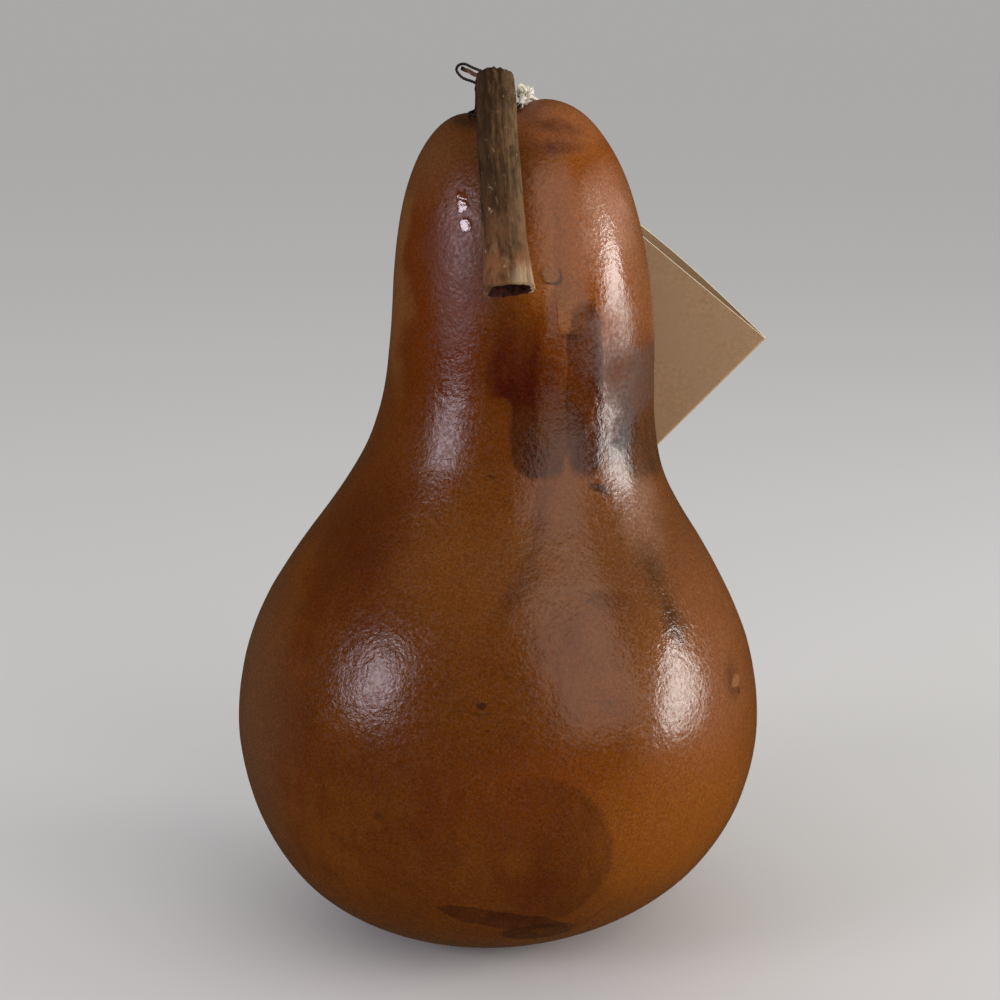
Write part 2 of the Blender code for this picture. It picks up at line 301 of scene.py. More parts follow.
def wobbled(tree, where, size, amount):
    """The place, shifted a little by soft noise, so that an edge wanders."""
    shift = node(tree, "ShaderNodeTexNoise", {"Vector": where, "Scale": 1 / size, "Detail": 3.0})
    centred = node(tree, "ShaderNodeVectorMath", {0: shift.outputs["Color"], 1: (0.5, 0.5, 0.5)},
                   operation="SUBTRACT")
    scaled = node(tree, "ShaderNodeVectorMath", {0: centred.outputs[0], "Scale": amount}, operation="SCALE")
    moved = node(tree, "ShaderNodeVectorMath", {0: where, 1: scaled.outputs[0]}, operation="ADD")
    return moved.outputs[0]


stained_rind, tree, shader = new_material("stained_varnished_rind")
where = node(tree, "ShaderNodeTexCoord").outputs["Object"]
wandering = wobbled(tree, where, 0.012, 0.008)
slightly = wobbled(tree, where, 0.005, 0.0024)
along = node(tree, "ShaderNodeSeparateXYZ", {0: where}).outputs

# ground colours: a thin even brown, darker to the left, with amber, mahogany and dark clouds in it
left_brown = colour(90, 46, 6)
right_brown = colour(122, 68, 20)
amber = colour(128, 72, 10)
mahogany = colour(94, 38, 4)
umber = colour(44, 26, 14)
to_right = spread(tree, along["X"], -0.060, 0.055)
tint = blend(tree, to_right, left_brown, right_brown)
thin = spread(tree, clouds(tree, where, 0.030, 4.0), 0.45, 0.70, 0.0, 0.45)
tint = blend(tree, thin, tint, amber)
thick = spread(tree, clouds(tree, wandering, 0.020, 5.0, 0.6, (1, 1, 0.5)), 0.50, 0.72, 0.0, 0.60)
tint = blend(tree, thick, tint, mahogany)
runs = spread(tree, clouds(tree, wandering, 0.007, 4.0, 0.6, (1, 1, 0.22)), 0.50, 0.75, 0.0, 0.35)
tint = blend(tree, runs, tint, mahogany)
mottled = spread(tree, clouds(tree, where, 0.0045, 5.0, 0.7), 0.40, 0.68, 0.0, 0.22)
tint = blend(tree, mottled, tint, colour(72, 34, 8))

# the front took the stain unevenly: broad soft zones first, then runs, drips and spots with edges. Some
# rows are painted light and not stain: pale patches painted as highlights and reflections, and dark ones
# painted as shade by the stem and as a gap in a reflection. Each row is a mark's middle, half size, turn,
# squareness, softness and fade, then its colour and strength, and the marks end with how dark their rim
# dried.
neck_red = colour(143, 77, 24)
dark_run = colour(62, 24, 6)
grey_run = colour(66, 48, 36)
zones = (
    ((27, 170), (17, 36), 0, 2, 0.5, 0.0, neck_red, 0.9),
    # painted shade: darker to the right of the stem's cut end
    ((18, 148), (6, 9), 0, 2, 0.6, 0.0, colour(100, 50, 14), 0.6),
    ((16, 192), (16, 7), 0, 2, 0.5, 0.0, colour(162, 98, 58), 0.9),
    # painted highlight: a pale patch where the right window shines on the upper neck
    ((27.5, 168), (5.5, 10), 8, 2, 0.7, 0.0, colour(204, 160, 138), 0.45),
    ((36, 170), (5, 30), 0, 2, 0.6, 0.0, colour(136, 90, 60), 0.7),
    ((-12, 150), (9, 34), 0, 2, 0.4, 0.0, mahogany, 0.65),
    ((-13, 160), (3, 26), 0, 2, 0.6, 0.0, colour(110, 50, 6), 0.6),
    ((-5, 155), (5, 22), 0, 2, 0.6, 0.0, colour(112, 46, 4), 0.6),
    # painted reflection: the left edge of the neck paler and greyer, as the room shines in it
    ((-19.5, 160), (3, 26), 0, 2, 0.5, 0.0, colour(126, 80, 42), 0.8),
    ((-14, 120), (9, 14), 0, 2, 0.6, 0.0, colour(104, 54, 10), 0.5),
    ((-6, 188), (9, 9), 0, 2, 0.6, 0.0, colour(108, 66, 32), 0.6),
    ((-13, 181), (7, 8), 0, 2, 0.6, 0.0, colour(112, 72, 42), 0.6),
    ((-25, 102), (13, 7), 42, 2, 0.6, 0.0, colour(80, 36, 6), 0.6),
    ((-6, 96), (12, 12), 0, 2, 0.6, 0.0, colour(122, 72, 28), 0.6),
    ((36, 96), (15, 18), 0, 2, 0.6, 0.0, colour(112, 72, 46), 0.6),
    ((31, 136), (9, 8), 0, 2, 0.6, 0.0, colour(92, 52, 30), 0.75),
    ((16, 96), (14, 10), 0, 2, 0.6, 0.0, colour(118, 74, 40), 0.6),
    # painted highlight: a pale streak where the right window's shine runs down onto the shoulder
    ((34.5, 106), (4, 8), 20, 2, 0.7, 0.0, colour(160, 122, 100), 0.45),
    ((5, 52), (19, 11), 0, 2, 0.7, 0.0, mahogany, 0.48),
    # painted reflection: the left edge of the belly paler and greyer, as the room shines in it
    ((-55, 62), (11, 34), 0, 2, 0.7, 0.0, colour(106, 70, 46), 0.8),
    ((47, 68), (12, 22), 0, 2, 0.7, 0.0, colour(140, 88, 56), 0.8),
    ((18, 54), (15, 9), 0, 2, 0.7, 0.0, colour(124, 62, 4), 0.55),
    ((42, 40), (20, 18), 0, 2, 0.6, 0.0, colour(138, 78, 22), 0.8),
)
marks = (
    ((-4.0, 139.5), (6.2, 8.0), 0, 4, 0.25, 0.7, mahogany, 0.5, 0),
    # painted reflection: a lighter strip down the neck where the front window shines
    ((12.4, 165), (2.6, 13.5), 0, 4, 0.20, 0.6, colour(164, 96, 46), 0.75, 0.1),
    ((18.2, 152.5), (2.9, 7.2), 9, 5, 0.08, 0.9, colour(146, 88, 36), 0.80, 0.30),
    ((19.4, 144.8), (2.6, 0.6), -16, 2, 0.3, 0.0, umber, 0.55, 0),
    # a stain under the stem's cut end, darkened further as painted shadow of the stem
    ((9.6, 141), (7.6, 12), 0, 3, 0.30, 0.8, mahogany, 0.75, 0),
    ((7.0, 139), (6.0, 11.5), 0, 2.6, 0.45, 0.5, colour(64, 6, 0), 0.95, 0),
    ((12.2, 127.6), (6.6, 12.6), 0, 3.2, 0.08, 0.75, dark_run, 0.92, 0.45),
    ((22.0, 133.4), (3.9, 18.2), 0, 4, 0.08, 0.25, colour(64, 26, 8), 0.90, 0.20),
    ((22.6, 119.2), (3.6, 4.8), 0, 2.5, 0.30, 0.3, dark_run, 0.65, 0),
    # painted dark gap in the right window's reflection, on the dark stained band
    ((29.6, 124), (4.0, 7.5), 0, 2, 0.50, 0.4, colour(34, 30, 30), 0.85, 0),
    ((37.6, 126), (6.6, 14.5), 0, 4, 0.16, 0.6, grey_run, 0.80, 0.15),
    ((1.9, 125.0), (4.4, 6.9), 0, 6, 0.08, 0.0, colour(106, 54, 6), 0.80, 0.1),
    ((14.6, 157.7), (2.3, 2.0), 0, 2, 0.14, 0.0, umber, 0.80, 0),
    ((14.1, 158.2), (2.1, 1.9), 0, 2, 0.16, 0.0, colour(142, 86, 42), 1.0, 0),
    ((25.0, 111.6), (3.0, 0.7), -34, 2, 0.3, 0.0, colour(56, 26, 10), 0.85, 0),
    ((12.0, 106), (1.7, 8), -12, 2, 0.8, 0.0, dark_run, 0.36, 0),
    ((7.0, 93), (2.2, 7.5), -36, 2, 0.8, 0.0, dark_run, 0.42, 0),
    ((11.2, 37.5), (18.8, 16.4), 90, 2, 0.06, 0.9, colour(70, 32, 8), 0.48, 0.10),
    ((7.2, 37.5), (3.4, 3.6), 0, 2, 0.8, 0.0, amber, 0.35, 0),
    ((3.6, 20.6), (14.0, 2.8), -13, 2, 0.10, 0.0, dark_run, 0.75, 0.4),
    ((12, 15.0), (8.0, 3.2), 3, 2, 0.14, 0.0, colour(50, 20, 6), 0.80, 0),
    ((-0.3, 71.2), (1.0, 0.8), 0, 2, 0.4, 0.0, umber, 0.8, 0),
    ((-2.2, 69.7), (3.6, 0.3), -2, 2, 0.5, 0.0, umber, 0.35, 0),
    ((24.6, 71.3), (2.8, 0.2), -4, 2, 0.5, 0.0, umber, 0.35, 0),
    ((1.9, 115.0), (0.8, 0.35), -20, 2, 0.4, 0.0, umber, 0.6, 0),
    ((26.9, 90), (2.8, 1.8), 0, 2, 0.8, 0.0, umber, 0.45, 0),
    ((23.6, 91), (2.0, 1.0), 20, 2, 0.8, 0.0, umber, 0.35, 0),
    ((37.4, 93), (2.0, 6.0), 26, 2, 0.8, 0.0, colour(60, 46, 24), 0.50, 0),
    ((41.0, 84), (1.9, 4.4), 26, 2, 0.8, 0.0, colour(40, 34, 18), 0.80, 0),
    ((36, 84), (4.2, 4.6), -10, 2, 0.8, 0.0, colour(120, 76, 28), 0.40, 0),
    ((-22.5, 45.8), (1.1, 0.9), 0, 2, 0.6, 0.0, umber, 0.45, 0),
    ((55.6, 67.6), (1.7, 4.2), 14, 2, 0.6, 0.0, umber, 0.45, 0),
    ((56.6, 66.9), (0.9, 1.3), 8, 2, 0.4, 0.0, colour(170, 118, 76), 0.9, 0),
    ((57.3, 64.4), (0.7, 0.8), 0, 2, 0.5, 0.0, umber, 0.70, 0),
    ((16.4, 188.4), (5.0, 1.6), -10, 2, 0.7, 0.0, colour(84, 46, 34), 0.75, 0),
    ((16.2, 184.6), (4.6, 1.6), 0, 2, 0.8, 0.0, colour(84, 46, 34), 0.80, 0),
    # a stain left of the stem's foot, darkened as painted shade of the hollow round the foot
    ((-4.2, 190.6), (3.8, 2.4), -15, 2, 0.5, 0.0, umber, 0.75, 0),
    ((9.6, 193.4), (1.8, 0.6), 20, 2, 0.5, 0.0, colour(84, 70, 58), 0.4, 0),
)
front = spread(tree, along["Y"], -0.002, 0.012, 1.0, 0.0)
streaks = spread(tree, clouds(tree, wandering, 0.0030, 4.0, 0.6, (1, 1, 0.18)), 0.35, 0.65, 0.66, 1.0)
streaked = times(tree, front, streaks)
for middle, half, turn, square, soft, fade, paint, strength in zones:
    amount = times(tree, front, strength)
    tint = blend(tree, mark(tree, wandering, middle, half, turn, square, soft, fade, amount)[0], tint, paint)
for middle, half, turn, square, soft, fade, paint, strength, edge in marks:
    amount = times(tree, streaked, strength)
    mask, rim = mark(tree, slightly, middle, half, turn, square, soft, fade, amount)
    tint = blend(tree, mask, tint, paint)
    if edge:
        tint = blend(tree, times(tree, rim, edge), tint, umber)

# fine grain of the rind under the varnish, lighter and darker, and a few dark pores
grain = spread(tree, clouds(tree, where, 0.0007, 3.0, 0.7), 0.3, 0.7, 0.0, 0.26)
tint = blend(tree, grain, tint, colour(60, 32, 12))
tint = blend(tree, 0.70, tint, clouds(tree, where, 0.00045, 2.0, 0.6), "OVERLAY")
pores = spread(tree, clouds(tree, where, 0.0020, 1.0, 0.4), 0.79, 0.83, 0.0, 0.4)
tint = blend(tree, pores, tint, umber)
tree.links.new(tint, shader.inputs["Base Color"])

# the varnish dried with a fine orange-peel skin and with a few sags, and it lies smoother over the
# dark run. It is duller in specks and in places, and glossier in others.
peel = clouds(tree, where, 0.0007, 2.0, 0.5)
dimples = clouds(tree, where, 0.0016, 2.0, 0.5)
waves = clouds(tree, where, 0.006, 2.0, 0.5)
height = times(tree, peel, 0.000062)
height = calc(tree, "MULTIPLY_ADD", dimples, 0.00010, height)
height = calc(tree, "MULTIPLY_ADD", waves, 0.00014, height)
calm = mark(tree, wandering, (17, 144), (11, 19), 0, 2.5, 0.4, 0.0, front)[0]
unevenness = calc(tree, "MULTIPLY_ADD", calm, -0.65, 1.0)
height = times(tree, height, unevenness)
sag_depth = 0.00006
sags = (((18.0, 152.5), (2.4, 7.2), 9, 4, 0.14, 0.9), ((14.2, 158.1), (1.9, 1.9), -90, 2, 0.3, 1.0),
        ((56.6, 66.9), (1.0, 1.5), 8, 2, 0.4, 0.0))
for middle, half, turn, square, soft, fade in sags:
    mask = mark(tree, slightly, middle, half, turn, square, soft, fade, front)[0]
    height = calc(tree, "MULTIPLY_ADD", mask, sag_depth, height)
make_uneven(tree, shader, height)
dull = spread(tree, clouds(tree, where, 0.0009, 2.0, 0.6), 0.35, 0.65, 0.14, 0.31)
dull_patches = (
    ((9, 165), (40, 30), 0.05), ((34, 134), (7, 7), 0.34), ((30.6, 123.5), (2.2, 3.6), 0.25),
    ((-5.5, 158), (7, 14), 0.13), ((-17, 150), (5, 26), -0.06), ((-10, 121), (8, 9), 0.05),
    ((7, 141), (8, 13), -0.08), ((11, 158), (4, 14), -0.06), ((28, 166), (5, 12), -0.16),
    ((26, 142.5), (7, 7), 0.19), ((17, 146), (6, 14), -0.09), ((23, 140), (4, 15), -0.10),
    ((9.6, 192), (4, 3), 0.50), ((38, 84), (10, 8), -0.07),
)
for middle, half, more in dull_patches:
    mask = mark(tree, wandering, middle, half, 0, 2.5, 0.4, 0.0, front)[0]
    dull = calc(tree, "MULTIPLY_ADD", mask, more, dull)
tree.links.new(dull, shader.inputs["Roughness"])
rind.data.materials.append(stained_rind)

# the drops are clear thick varnish with a hard gloss, over the same brown
varnish_drop, tree, shader = new_material("varnish_drop")
where = node(tree, "ShaderNodeTexCoord").outputs["Object"]
uneven = spread(tree, clouds(tree, where, 0.0008, 2.0), 0.35, 0.65)
tree.links.new(blend(tree, uneven, colour(92, 42, 16), colour(112, 58, 28)), shader.inputs["Base Color"])
shader.inputs["Roughness"].default_value = 0.11
make_uneven(tree, shader, times(tree, clouds(tree, where, 0.0011, 2.0), 0.00010))
shader.inputs["IOR"].default_value = 1.6
shader.inputs["Specular IOR Level"].default_value = 1.0
rind.data.materials.append(varnish_drop)
for face in rind.data.polygons:
    face.material_index = int(drop_level(face.center) > 0)
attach(rind, "root")
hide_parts("gourd")

# Stem: the woody stalk that the fruit hung from, ribbed and fibrous. It grows out of the crown,
# bends over and hangs down in front, and its cut end flares round a soft pith that has dried out.
stem_line = [
    (0.0024, -0.0030, 0.1885), (0.0024, -0.0034, 0.1928), (0.0025, -0.0100, 0.1972),
    (0.0027, -0.0185, 0.1949), (0.0031, -0.0260, 0.1868), (0.0038, -0.0313, 0.1770),
    (0.0046, -0.0352, 0.1665), (0.0056, -0.0386, 0.1556),
]
stem_radius = 0.00445
stem_swell = [1.12, 0.98, 1.0, 1.0, 1.0, 1.0, 1.06, 1.24]
ridge_turns = [math.radians(turn) for turn in (38, 96, 142, 218, 264, 322)]
section_points = 120
squareness = 2.3
fibre_radius = 0.0045
tip_below = 0.17
tip_ragged_by = 0.0003
tip_slants_by = 0.0012
depth_to_width = 0.88

bpy.ops.object.select_all(action="DESELECT")
bpy.ops.mesh.primitive_circle_add(vertices=section_points, radius=stem_radius)
section = bpy.context.object
for vertex in section.data.vertices:
    turn = math.atan2(vertex.co.y, vertex.co.x)
    nearest = min(abs((turn - ridge + math.pi) % (2 * math.pi) - math.pi) for ridge in ridge_turns)
    swell = 1 + 0.035 * math.cos(min(nearest, 0.45) * 7)
    squared = abs(math.cos(turn)) ** squareness + abs(math.sin(turn)) ** squareness
    vertex.co.x *= swell * squared ** (-1 / squareness)
    vertex.co.y *= swell * squared ** (-1 / squareness) * depth_to_width
bpy.ops.object.convert(target="CURVE")
bpy.ops.object.select_all(action="DESELECT")
bpy.ops.curve.primitive_bezier_curve_add()
stalk = bpy.context.object
stalk.name = "woody_stem"
line = stalk.data.splines[0]
line.bezier_points.add(len(stem_line) - 2)
for point, place, swell in zip(line.bezier_points, stem_line, stem_swell):
    point.co = place
    point.radius = swell
    point.handle_left_type = "AUTO"
    point.handle_right_type = "AUTO"
line.resolution_u = 24
stalk.data.twist_mode = "MINIMUM"
stalk.data.bevel_mode = "OBJECT"
stalk.data.bevel_object = section
bpy.ops.object.convert(target="MESH")
bpy.data.objects.remove(section)
place_in_mesh(stalk)

# every point's place on the straightened stalk, for fibres that follow the bend, and which side it faces, for
# the painted light and shade of its sides
rings = len(stalk.data.vertices) // section_points
middles = []
for ring in range(rings):
    loop = stalk.data.vertices[ring * section_points : (ring + 1) * section_points]
    middles.append(sum((vertex.co for vertex in loop), Vector()) / section_points)
stalk.data.attributes.new("straight", "FLOAT_VECTOR", "POINT")
stalk.data.attributes.new("facing", "FLOAT", "POINT")
straight = stalk.data.attributes["straight"]
facing = stalk.data.attributes["facing"]
tip_way = (middles[-1] - middles[-4]).normalized()
run = 0.0
for ring, middle in enumerate(middles):
    run += (middle - middles[max(ring - 1, 0)]).length
    to_tip = ring / (rings - 1)
    for around in range(section_points):
        vertex = stalk.data.vertices[ring * section_points + around]
        out = vertex.co - middle
        turn = 2 * math.pi * around / section_points
        place = Vector((math.cos(turn), math.sin(turn), 0))
        straight.data[vertex.index].vector = (*(place * fibre_radius).xy, run)
        facing.data[vertex.index].value = out.normalized().x
        lump = noise.noise(place * 1.3 + Vector((0, 0, run * 120)))
        fibre = noise.fractal(place * 5.5 + Vector((0, 0, run * 45)), 1.0, 2.0, 4)
        split = max(0.0, noise.noise(place * 3.4 + Vector((7, 3, run * 60))) - 0.25)
        crust = noise.fractal(vertex.co * 900, 1.0, 2.0, 3)
        vertex.co += out * (0.04 * lump + 0.06 * fibre - 0.34 * split + 0.012 * crust)
        frontness = max(0.0, -out.normalized().y) ** 0.6
        ragged = noise.noise(place * 2.5) * tip_ragged_by
        near_tip = max(0.0, to_tip * 8 - 7) ** 1.5
        vertex.co += tip_way * (ragged - tip_slants_by * frontness) * near_tip

bpy.ops.object.mode_set(mode="EDIT")
bpy.ops.mesh.select_mode(type="VERT")
for end_is_tip in (True, False):
    bpy.ops.mesh.select_all(action="DESELECT")
    shape = bmesh.from_edit_mesh(stalk.data)
    for vertex in shape.verts:
        vertex.select_set(vertex.is_boundary and (vertex.co.z < tip_below) == end_is_tip)
    shape.select_flush_mode()
    chosen = [vertex.co.copy() for vertex in shape.verts if vertex.select]
    bmesh.update_edit_mesh(stalk.data)
    middle = sum(chosen, Vector()) / len(chosen)
    if end_is_tip:
        for scale, inward in ((0.86, -0.0002), (0.84, 0.0007), (0.90, 0.0022)):
            bpy.ops.mesh.extrude_region_move(TRANSFORM_OT_translate={"value": tip_way * -inward})
            middle -= tip_way * inward
            bpy.ops.transform.resize(value=(scale, scale, scale), center_override=middle)
    bpy.ops.mesh.edge_face_add()
bpy.ops.mesh.select_all(action="SELECT")
bpy.ops.mesh.normals_make_consistent(inside=False)
bpy.ops.object.mode_set(mode="OBJECT")
stalk.data.shade_smooth()
stalk.data.set_sharp_from_angle(angle=math.radians(50))

dried_stem, tree, shader = new_material("dried_woody_stem")
where = node(tree, "ShaderNodeTexCoord").outputs["Object"]
grain_place = node(tree, "ShaderNodeAttribute", attribute_name="straight").outputs["Vector"]
side = node(tree, "ShaderNodeAttribute", attribute_name="facing").outputs["Fac"]
brown = colour(112, 82, 50)
bark_dark = colour(56, 38, 19)
red_brown = colour(140, 92, 60)
grey_tan = colour(144, 114, 82)
pale_wood = colour(186, 158, 122)
coarse = spread(tree, clouds(tree, grain_place, 0.0015, 4.0, 0.65, (1, 1, 0.14)), 0.34, 0.66)
fine = spread(tree, clouds(tree, grain_place, 0.00045, 3.0, 0.65, (1, 1, 0.06)), 0.42, 0.64)
tint = blend(tree, coarse, bark_dark, brown)
tint = blend(tree, times(tree, fine, 0.50), tint, bark_dark)
# painted light and shade: the side facing right is painted paler and greyer as if lit, the side facing left
# darker as shade
tint = blend(tree, spread(tree, side, 0.15, 0.85, 0.0, 0.45), tint, grey_tan)
tint = blend(tree, spread(tree, side, -0.75, -0.25, 0.60, 0.0), tint, colour(48, 28, 12))
height_up = node(tree, "ShaderNodeSeparateXYZ", {0: where}).outputs["Z"]
lower = spread(tree, height_up, 0.157, 0.181, 0.85, 0.0)
bark = spread(tree, clouds(tree, grain_place, 0.0014, 4.0, 0.7, (1, 1, 0.45)), 0.48, 0.62, 0.0, 0.55)
tint = blend(tree, bark, tint, colour(52, 38, 26))
worn = spread(tree, clouds(tree, grain_place, 0.0011, 4.0, 0.7, (1, 1, 0.35)), 0.60, 0.68, 0.0, 0.45)
tint = blend(tree, worn, tint, colour(140, 118, 90))
patchy = spread(tree, clouds(tree, grain_place, 0.0032, 4.0, 0.65, (1, 1, 0.4)), 0.34, 0.60)
tint = blend(tree, times(tree, lower, patchy), tint, red_brown)
crusty = spread(tree, clouds(tree, grain_place, 0.0017, 5.0, 0.7, (1, 1, 0.5)), 0.54, 0.66, 0.0, 0.65)
tint = blend(tree, times(tree, lower, crusty), tint, grey_tan)
flecks = spread(tree, clouds(tree, grain_place, 0.0011, 3.0, 0.6, (1, 1, 0.45)), 0.68, 0.73, 0.0, 0.7)
tint = blend(tree, flecks, tint, pale_wood)
lip = mark(tree, wobbled(tree, where, 0.002, 0.0016), (9.0, 158.2), (2.8, 3.4), 20, 2, 0.5, 0.0, 0.68)[0]
tint = blend(tree, lip, tint, pale_wood)
rim = spread(tree, height_up, 0.1550, 0.1562, 0.45, 0.0)
tint = blend(tree, times(tree, rim, patchy), tint, pale_wood)
tree.links.new(tint, shader.inputs["Base Color"])
ribs = clouds(tree, grain_place, 0.0008, 5.0, 0.7, (1, 1, 0.10))
make_uneven(tree, shader, times(tree, ribs, 0.0007))
shader.inputs["Roughness"].default_value = 0.80
shader.inputs["Specular IOR Level"].default_value = 0.25
stalk.data.materials.append(dried_stem)

# the pith inside the cut end is a dark red-brown, painted darker still as shade inside the hollow
dried_pith_and_hollow_shade, tree, shader = new_material("dried_pith_and_hollow_shade")
where = node(tree, "ShaderNodeTexCoord").outputs["Object"]
crumbs = spread(tree, clouds(tree, where, 0.0011, 4.0, 0.7), 0.35, 0.65)
tree.links.new(blend(tree, crumbs, colour(26, 6, 2), colour(80, 28, 6)), shader.inputs["Base Color"])
shader.inputs["Roughness"].default_value = 0.95
stalk.data.materials.append(dried_pith_and_hollow_shade)
wall_and_lip_faces = rings * section_points
for face in stalk.data.polygons:
    if face.index >= wall_and_lip_faces and face.center.z < tip_below:
        face.material_index = 1
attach(stalk, "root")
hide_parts("stem")

# Cord loop: a thin dark waxed cord of two strands, wound round the foot of the stem.
# It stands out to the left in a small loop, and the strands of its cut end have come loose.
loop_route = [
    (-0.0042, 0.0018, 0.2007), (-0.0026, 0.0021, 0.1997), (-0.0006, 0.0025, 0.1985),
    (0.0016, 0.0029, 0.1964), (0.0032, 0.0029, 0.1940), (0.0054, 0.0021, 0.1929),
    (0.0074, -0.0003, 0.1931), (0.0082, -0.0034, 0.1931), (0.0068, -0.0069, 0.1922),
    (0.0026, -0.0086, 0.1911), (-0.0016, -0.0072, 0.1909), (-0.0032, -0.0036, 0.1912),
    (-0.0022, -0.0001, 0.1916), (-0.0005, 0.0018, 0.1934), (-0.0006, 0.0021, 0.1962),
    (-0.0024, 0.0018, 0.1979), (-0.0044, 0.0016, 0.1986), (-0.0056, 0.0013, 0.1996),
    (-0.0061, 0.0010, 0.2007), (-0.0055, 0.0007, 0.2016), (-0.0043, 0.0006, 0.2018),
    (-0.0029, 0.0008, 0.2012), (-0.0012, 0.0012, 0.2005), (0.0008, 0.0014, 0.1996),
]


def smooth_through(points, step):
    """Points a short step apart on one smooth line through the given ones."""
    points = np.array(points, dtype=float)
    gaps = np.linalg.norm(np.diff(points, axis=0), axis=1)
    along = np.concatenate(([0.0], np.cumsum(gaps)))
    rows = np.eye(len(points))
    right = np.zeros_like(points)
    for i in range(1, len(points) - 1):
        rows[i, i - 1 : i + 2] = (gaps[i - 1], 2 * (gaps[i - 1] + gaps[i]), gaps[i])
        right[i] = 6 * ((points[i + 1] - points[i]) / gaps[i] - (points[i] - points[i - 1]) / gaps[i - 1])
    bend = np.linalg.solve(rows, right)
    line = []
    for where in np.linspace(0.0, along[-1], max(8, int(along[-1] / step))):
        i = min(int(np.searchsorted(along, where, side="right")) - 1, len(gaps) - 1)
        before = along[i + 1] - where
        after = where - along[i]
        gap = gaps[i]
        spot = (bend[i] * before**3 + bend[i + 1] * after**3) / (6 * gap)
        spot = spot + (points[i] / gap - bend[i] * gap / 6) * before
        spot = spot + (points[i + 1] / gap - bend[i + 1] * gap / 6) * after
        line.append(Vector(spot))
    return line


def tube_along(name, lines, thickness, sides=2):
    """One mesh of round strands along the given lines of points."""
    bpy.ops.object.select_all(action="DESELECT")
    curve = bpy.data.curves.new(name, "CURVE")
    curve.dimensions = "3D"
    curve.bevel_depth = thickness / 2
    curve.bevel_resolution = sides
    curve.use_fill_caps = True
    for points in lines:
        spline = curve.splines.new("POLY")
        spline.points.add(len(points) - 1)
        for target, point in zip(spline.points, points):
            target.co = (*point, 1.0)
    tube = bpy.data.objects.new(name, curve)
    bpy.context.collection.objects.link(tube)
    tube.select_set(True)
    bpy.context.view_layer.objects.active = tube
    bpy.ops.object.convert(target="MESH")
    tube.data.shade_smooth()
    return tube


def twisted(line, strands, spacing, pitch):
    """The lines of a cord's strands, wound round its middle line."""
    across = Vector((0, 0, 1))
    wound = [[] for strand in range(strands)]
    run = 0.0
    for i, middle in enumerate(line):
        way = (line[min(i + 1, len(line) - 1)] - line[max(i - 1, 0)]).normalized()
        across = (across - way * across.dot(way)).normalized()
        side = way.cross(across)
        run += (middle - line[max(i - 1, 0)]).length
        for strand in range(strands):
            turn = 2 * math.pi * (run / pitch + strand / strands)
            wound[strand].append(middle + (across * math.cos(turn) + side * math.sin(turn)) * spacing)
    return wound


loose_end = [
    (-0.0051, 0.0018, 0.2009), (-0.0038, 0.0019, 0.2004), (-0.0024, 0.0021, 0.1997),
    (-0.0006, 0.0024, 0.1988),
]
wound_line = smooth_through(loop_route, 0.00012)
loose_line = smooth_through(loose_end, 0.00012)
strands = twisted(wound_line, strands=2, spacing=0.00009, pitch=0.0013)
strands += twisted(loose_line, strands=3, spacing=0.00026, pitch=0.0060)
waxed_loop = tube_along("waxed_cord_loop", strands, thickness=0.00050)
waxed_cord, tree, shader = new_material("waxed_cord")
where = node(tree, "ShaderNodeTexCoord").outputs["Object"]
dull = spread(tree, clouds(tree, where, 0.0008, 3.0), 0.35, 0.7)
tint = blend(tree, dull, colour(26, 16, 12), colour(58, 38, 28))
inner_end = mark(tree, where, (-2.2, 199.6), (2.3, 0.85), -26, 2, 0.4, 0.0, 0.85)[0]
tint = blend(tree, inner_end, tint, colour(124, 88, 66))
tree.links.new(tint, shader.inputs["Base Color"])
make_uneven(tree, shader, times(tree, clouds(tree, where, 0.0002, 3.0), 0.00006))
shader.inputs["Roughness"].default_value = 0.5
waxed_loop.data.materials.append(waxed_cord)
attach(waxed_loop, "root")
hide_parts("stem_loop")

# Cotton string: soft cream string of two twisted strands. It is knotted beside the foot of the stem,
# runs down behind the neck, goes through the card's hole and comes back up to the knot.
string_route = [
    (0.0090, 0.0026, 0.1944), (0.0091, 0.0060, 0.1939), (0.0097, 0.0100, 0.1933),
    (0.0113, 0.0142, 0.1917), (0.0133, 0.0176, 0.1886), (0.0157, 0.0209, 0.1835),
    (0.0178, 0.0230, 0.1777), (0.0196, 0.0244, 0.1722), (0.0211, 0.0258, 0.1690),
    (0.0222, 0.0286, 0.1677), (0.0229, 0.0318, 0.1684), (0.0232, 0.0337, 0.1712),
    (0.0232, 0.0329, 0.1752), (0.0227, 0.0290, 0.1792), (0.0211, 0.0237, 0.1825),
    (0.0190, 0.0196, 0.1851), (0.0167, 0.0163, 0.1886), (0.0143, 0.0131, 0.1917),
    (0.0120, 0.0095, 0.1936), (0.0110, 0.0060, 0.1942), (0.0106, 0.0023, 0.1944),
]
string_line = smooth_through(string_route, 0.00018)
string_strands = twisted(string_line, strands=2, spacing=0.00024, pitch=0.0024)
string = tube_along("cotton_string", string_strands, thickness=0.00052)
cotton, tree, shader = new_material("cream_cotton")
where = node(tree, "ShaderNodeTexCoord").outputs["Object"]
soil = spread(tree, clouds(tree, where, 0.0020, 4.0, 0.6), 0.35, 0.70)
tree.links.new(blend(tree, soil, colour(255, 252, 242), colour(248, 240, 222)), shader.inputs["Base Color"])
fibres = clouds(tree, where, 0.00018, 3.0, 0.6)
make_uneven(tree, shader, times(tree, fibres, 0.00005))
shader.inputs["Roughness"].default_value = 0.95
shader.inputs["Sheen Weight"].default_value = 0.3
string.data.materials.append(cotton)
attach(string, "root")
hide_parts("tag_string")

